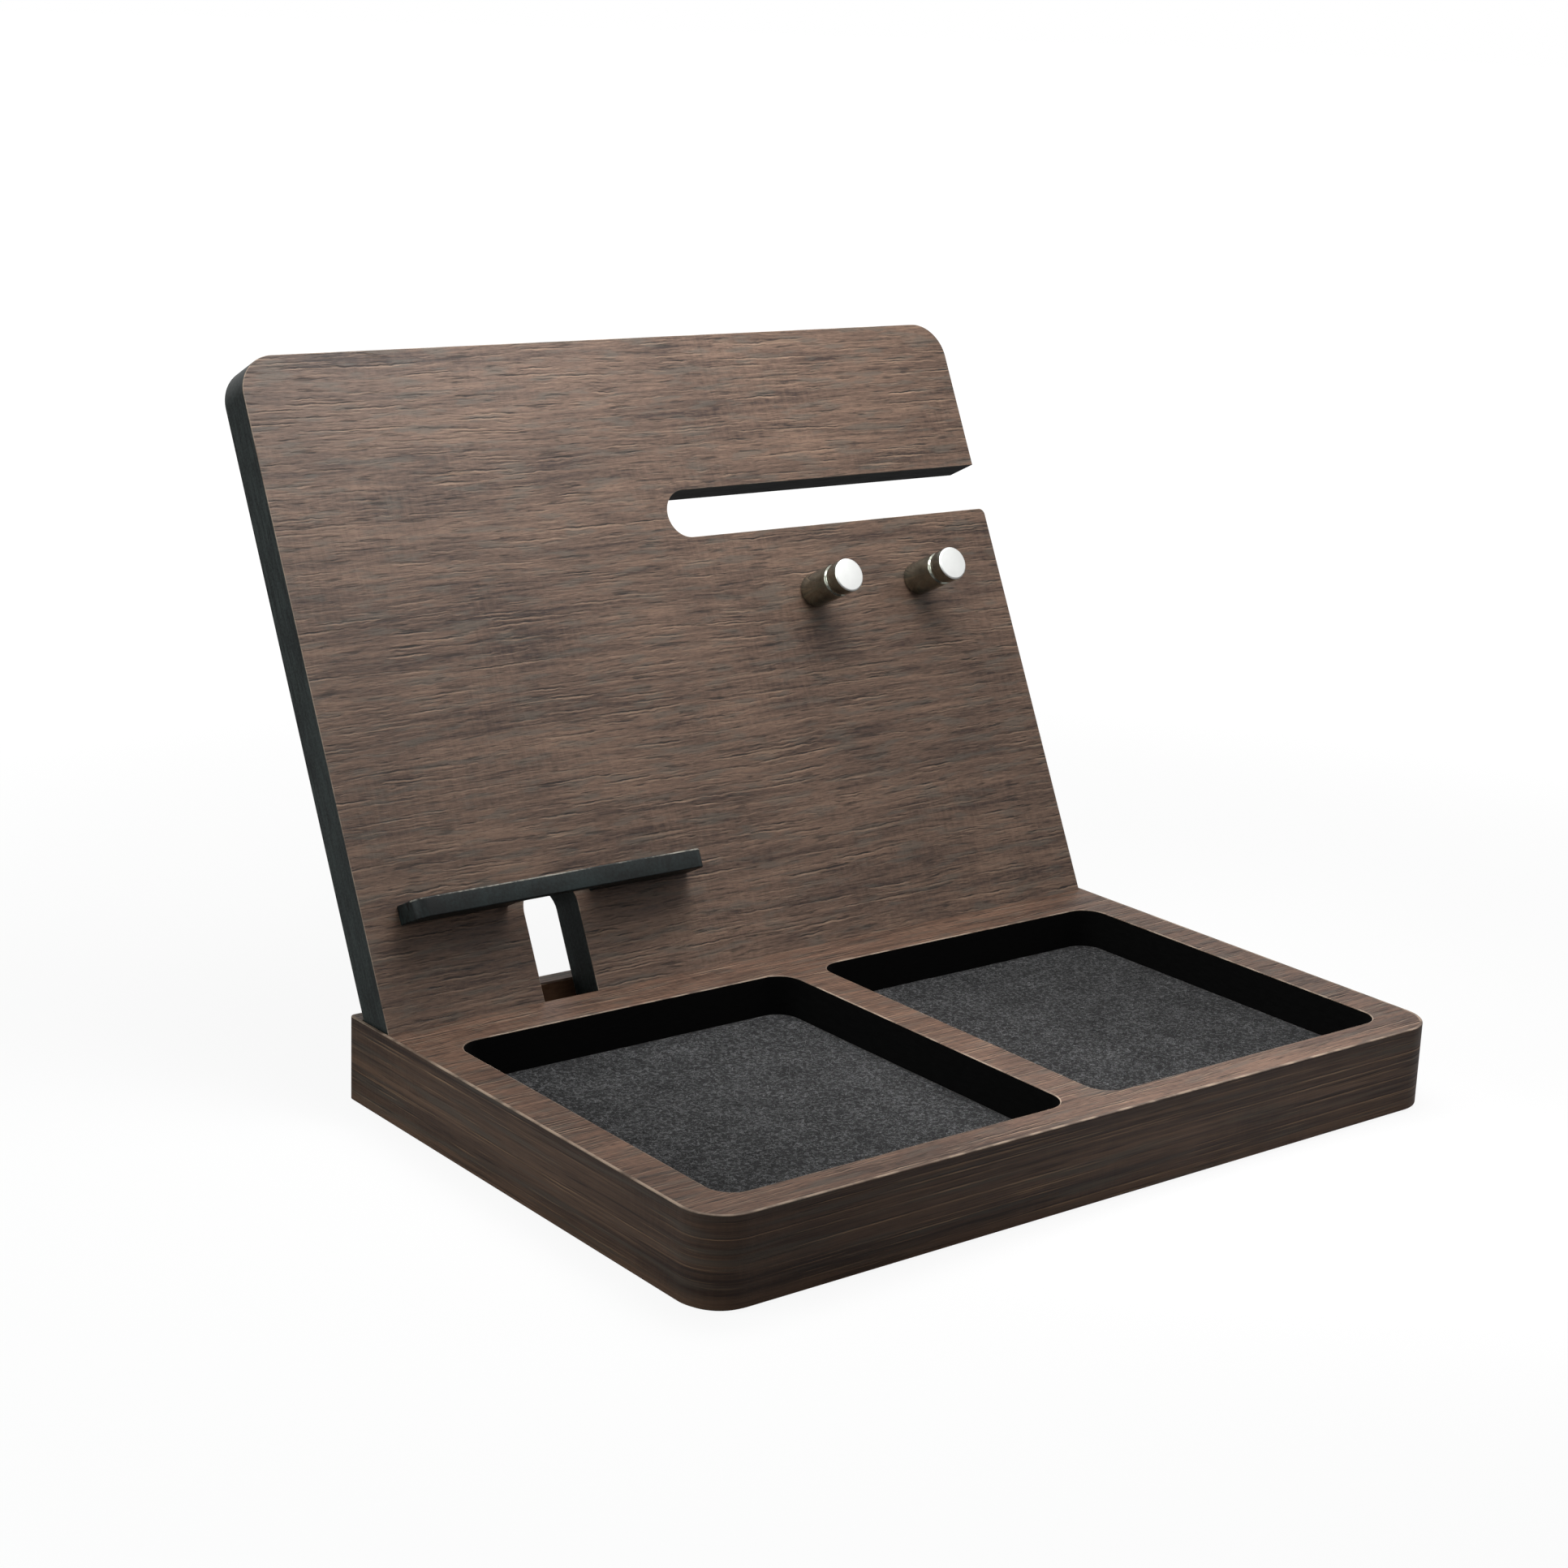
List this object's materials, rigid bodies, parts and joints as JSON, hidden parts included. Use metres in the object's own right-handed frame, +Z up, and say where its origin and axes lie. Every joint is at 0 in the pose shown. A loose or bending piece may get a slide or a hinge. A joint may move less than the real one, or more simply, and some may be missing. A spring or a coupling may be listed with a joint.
{
  "type": "valet tray with leaning back panel",
  "caption": "Walnut-veneered valet tray: felt-lined pockets and a leaning back panel with a phone ledge, key pegs, an open watch slot and a cable arch.",
  "frame": {"origin": "centre of the tray's underside, on the surface it stands on", "axes": "+Z up, +X to the right and +Y to the back as seen from the front, where the pockets are"},
  "size_m": [0.3, 0.281, 0.2288],
  "materials": {
    "tray_board": "milled board, black paint on the pocket walls",
    "walnut_veneer": "open-pored walnut veneer, matt lacquer",
    "felt": "charcoal felt",
    "black_board": "board with black painted edges",
    "peg_steel": "polished sides, satin head",
    "fastener_steel": "zinc plated",
    "ledge_black": "black satin paint, edges worn pale"
  },
  "bodies": {
    "tray": {"tray_core": "tray_board", "tray_top_veneer": "walnut_veneer", "tray_rear_veneer": "walnut_veneer", "tray_side_band": "walnut_veneer", "left_pocket_felt": "felt", "right_pocket_felt": "felt", "underside_felt": "felt"},
    "back_panel": {"panel_core": "black_board", "panel_front_veneer": "walnut_veneer", "panel_rear_veneer": "walnut_veneer", "left_key_peg": "peg_steel", "right_key_peg": "peg_steel", "peg_screws": "fastener_steel", "peg_washers": "fastener_steel"},
    "phone_ledge": {"phone_ledge": "ledge_black"}
  },
  "joints": [
    {"name": "panel_lift", "type": "slide", "parent": "tray", "child": "back_panel", "axis": [0, 0.4384, 0.8988], "range_m": [0, 0.045]},
    {"name": "ledge_pull", "type": "slide", "parent": "back_panel", "child": "phone_ledge", "axis": [0, -0.8988, 0.4384], "range_m": [0, 0.03]}
  ]
}
